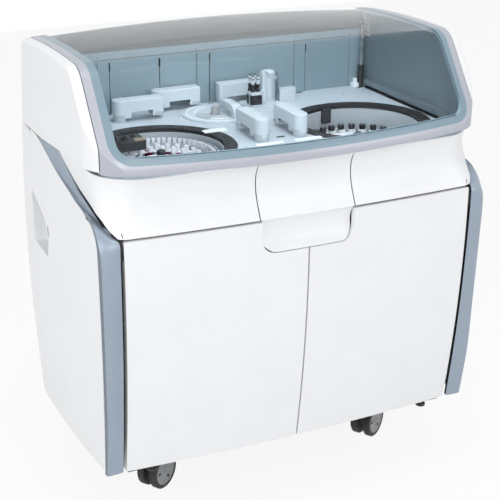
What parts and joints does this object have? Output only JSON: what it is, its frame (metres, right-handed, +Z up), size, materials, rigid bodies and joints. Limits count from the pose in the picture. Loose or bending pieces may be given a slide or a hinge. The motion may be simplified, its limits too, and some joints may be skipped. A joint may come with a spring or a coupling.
{
  "type": "benchtop chemistry analyzer",
  "caption": "Floor-standing chemistry analyser with a bow front, two doors, a hinged clear hood over a deck with two carousels, and casters.",
  "frame": {"origin": "on the floor, under the centre of the outer box", "axes": "+Z up, +X to the right as seen from the front, -Y to the front"},
  "size_m": [1, 0.7009, 1.168],
  "materials": {
    "moulded_white": "satin",
    "trim_blue_grey": "satin metallic",
    "frame_silver": "satin metallic",
    "strip_slate": "satin",
    "clear_window": "clear",
    "hood_grey": "matte",
    "deck_grey": "satin",
    "tub_grey": "matte",
    "ring_black": "matte",
    "arm_grey": "satin",
    "steel": "brushed",
    "chassis": "matte",
    "vessel_clear": "translucent",
    "bottle": "translucent",
    "caster_black": "matte",
    "tyre_black": "matte"
  },
  "bodies": {
    "cabinet": {"base_frame": "chassis", "cabinet_liner": "chassis", "left_side_panel": "moulded_white", "right_side_panel": "moulded_white", "left_trim": "trim_blue_grey", "right_trim": "trim_blue_grey", "left_upper_panel": "moulded_white", "right_upper_panel": "moulded_white", "centre_panel": "moulded_white", "rear_panel": "moulded_white", "left_cheek": "moulded_white", "right_cheek": "moulded_white", "hood_header": "hood_grey", "back_liner": "hood_grey", "side_liners": "hood_grey", "deck_plate": "deck_grey", "deck_rings": "ring_black", "sample_tub": "tub_grey", "reagent_tub": "tub_grey", "deck_platform": "arm_grey", "drive_cover": "arm_grey", "wash_station": "arm_grey", "code_reader": "chassis", "optics_block": "chassis", "hinge_pins": "steel", "strut_brackets": "steel"},
    "lid": {"lid_frame": "frame_silver", "lid_strip": "strip_slate", "lid_window": "clear_window"},
    "left_door_leaf": {"left_door": "moulded_white"},
    "right_door_leaf": {"right_door": "moulded_white"},
    "left_barrel": {"left_strut_barrel": "chassis"},
    "right_barrel": {"right_strut_barrel": "chassis"},
    "left_rod": {"left_strut_rod": "steel"},
    "right_rod": {"right_strut_rod": "steel"},
    "sample_carousel": {"sample_rotor": "tub_grey", "sample_vessels": "vessel_clear"},
    "reagent_carousel": {"reagent_rotor": "tub_grey", "reagent_bottles": "bottle"},
    "wash_lift": {"wash_head": "arm_grey"},
    "arm_a_lift": {"arm_a_post": "tub_grey"},
    "arm_a_swing": {"arm_a_cover": "arm_grey", "arm_a_probe": "steel"},
    "arm_b_lift": {"arm_b_post": "tub_grey"},
    "arm_b_swing": {"arm_b_cover": "arm_grey"},
    "arm_d_lift": {"arm_d_post": "tub_grey"},
    "arm_d_swing": {"arm_d_cover": "arm_grey", "arm_d_probe": "steel"},
    "arm_e_lift": {"arm_e_post": "tub_grey"},
    "arm_e_swing": {"arm_e_cover": "arm_grey", "arm_e_probe": "steel"},
    "front_left_swivel": {"front_left_caster_fork": "caster_black"},
    "front_left_wheels": {"front_left_caster_wheels": "tyre_black"},
    "front_right_swivel": {"front_right_caster_fork": "caster_black"},
    "front_right_wheels": {"front_right_caster_wheels": "tyre_black"},
    "rear_left_swivel": {"rear_left_caster_fork": "caster_black"},
    "rear_left_wheels": {"rear_left_caster_wheels": "tyre_black"},
    "rear_right_swivel": {"rear_right_caster_fork": "caster_black"},
    "rear_right_wheels": {"rear_right_caster_wheels": "tyre_black"}
  },
  "joints": [
    {"name": "lid_hinge", "type": "hinge", "parent": "cabinet", "child": "lid", "pos_m": [0, 0.262, 1.118], "axis": [-1, 0, 0], "range_deg": [0, 60]},
    {"name": "left_door_hinge", "type": "hinge", "parent": "cabinet", "child": "left_door_leaf", "pos_m": [-0.382, -0.262, 0.49], "axis": [0, 0, -1], "range_deg": [0, 100]},
    {"name": "left_strut_pivot", "type": "hinge", "parent": "cabinet", "child": "left_barrel", "pos_m": [-0.449, 0.232, 0.806], "axis": [1, 0, 0], "range_deg": [0, 0.6]},
    {"name": "left_strut_slide", "type": "slide", "parent": "left_barrel", "child": "left_rod", "axis": [0, 0, 1], "range_m": [0, 0.03]},
    {"name": "right_door_hinge", "type": "hinge", "parent": "cabinet", "child": "right_door_leaf", "pos_m": [0.382, -0.262, 0.49], "axis": [0, 0, 1], "range_deg": [0, 100]},
    {"name": "right_strut_pivot", "type": "hinge", "parent": "cabinet", "child": "right_barrel", "pos_m": [0.449, 0.232, 0.806], "axis": [1, 0, 0], "range_deg": [0, 0.6]},
    {"name": "right_strut_slide", "type": "slide", "parent": "right_barrel", "child": "right_rod", "axis": [0, 0, 1], "range_m": [0, 0.03]},
    {"name": "sample_carousel_spin", "type": "hinge", "parent": "cabinet", "child": "sample_carousel", "pos_m": [-0.268, -0.079, 0.8], "axis": [0, 0, 1], "continuous": true},
    {"name": "reagent_carousel_spin", "type": "hinge", "parent": "cabinet", "child": "reagent_carousel", "pos_m": [0.268, -0.079, 0.8], "axis": [0, 0, 1], "continuous": true},
    {"name": "arm_a_lift_slide", "type": "slide", "parent": "cabinet", "child": "arm_a_lift", "axis": [0, 0, 1], "range_m": [0, 0.03]},
    {"name": "arm_a_swing_hinge", "type": "hinge", "parent": "arm_a_lift", "child": "arm_a_swing", "pos_m": [-0.285, 0.169, 0.95], "axis": [0, 0, 1], "range_deg": [-90, 0]},
    {"name": "arm_b_lift_slide", "type": "slide", "parent": "cabinet", "child": "arm_b_lift", "axis": [0, 0, 1], "range_m": [0, 0.03]},
    {"name": "arm_b_swing_hinge", "type": "hinge", "parent": "arm_b_lift", "child": "arm_b_swing", "pos_m": [-0.16, 0.224, 0.95], "axis": [0, 0, 1], "range_deg": [-60, 0]},
    {"name": "arm_d_lift_slide", "type": "slide", "parent": "cabinet", "child": "arm_d_lift", "axis": [0, 0, 1], "range_m": [0, 0.03]},
    {"name": "arm_d_swing_hinge", "type": "hinge", "parent": "arm_d_lift", "child": "arm_d_swing", "pos_m": [-0.033, -0.135, 0.95], "axis": [0, 0, 1], "range_deg": [0, 100]},
    {"name": "arm_e_lift_slide", "type": "slide", "parent": "cabinet", "child": "arm_e_lift", "axis": [0, 0, 1], "range_m": [0, 0.03]},
    {"name": "arm_e_swing_hinge", "type": "hinge", "parent": "arm_e_lift", "child": "arm_e_swing", "pos_m": [0.07, -0.135, 0.95], "axis": [0, 0, 1], "range_deg": [-100, 0]},
    {"name": "wash_lift_slide", "type": "slide", "parent": "cabinet", "child": "wash_lift", "axis": [0, 0, 1], "range_m": [0, 0.025]},
    {"name": "front_left_caster_swivel", "type": "hinge", "parent": "cabinet", "child": "front_left_swivel", "pos_m": [-0.318, -0.085, 0.14], "axis": [0, 0, 1], "continuous": true},
    {"name": "front_left_wheel_spin", "type": "hinge", "parent": "front_left_swivel", "child": "front_left_wheels", "pos_m": [-0.30308, -0.07494, 0.05], "axis": [0.5592, -0.829, 0], "continuous": true},
    {"name": "front_right_caster_swivel", "type": "hinge", "parent": "cabinet", "child": "front_right_swivel", "pos_m": [0.318, -0.085, 0.14], "axis": [0, 0, 1], "continuous": true},
    {"name": "front_right_wheel_spin", "type": "hinge", "parent": "front_right_swivel", "child": "front_right_wheels", "pos_m": [0.33292, -0.07494, 0.05], "axis": [0.5592, -0.829, 0], "continuous": true},
    {"name": "rear_left_caster_swivel", "type": "hinge", "parent": "cabinet", "child": "rear_left_swivel", "pos_m": [-0.318, 0.235, 0.14], "axis": [0, 0, 1], "continuous": true},
    {"name": "rear_left_wheel_spin", "type": "hinge", "parent": "rear_left_swivel", "child": "rear_left_wheels", "pos_m": [-0.30308, 0.24507, 0.05], "axis": [0.5592, -0.829, 0], "continuous": true},
    {"name": "rear_right_caster_swivel", "type": "hinge", "parent": "cabinet", "child": "rear_right_swivel", "pos_m": [0.318, 0.235, 0.14], "axis": [0, 0, 1], "continuous": true},
    {"name": "rear_right_wheel_spin", "type": "hinge", "parent": "rear_right_swivel", "child": "rear_right_wheels", "pos_m": [0.33292, 0.24507, 0.05], "axis": [0.5592, -0.829, 0], "continuous": true}
  ],
  "couplings": [
    {"joint": "left_strut_pivot", "follows": "lid_hinge", "ratio": 0.0079},
    {"joint": "left_strut_slide", "follows": "lid_hinge", "m_per_rad": 0.02655},
    {"joint": "right_strut_pivot", "follows": "lid_hinge", "ratio": 0.0079},
    {"joint": "right_strut_slide", "follows": "lid_hinge", "m_per_rad": 0.02655}
  ]
}
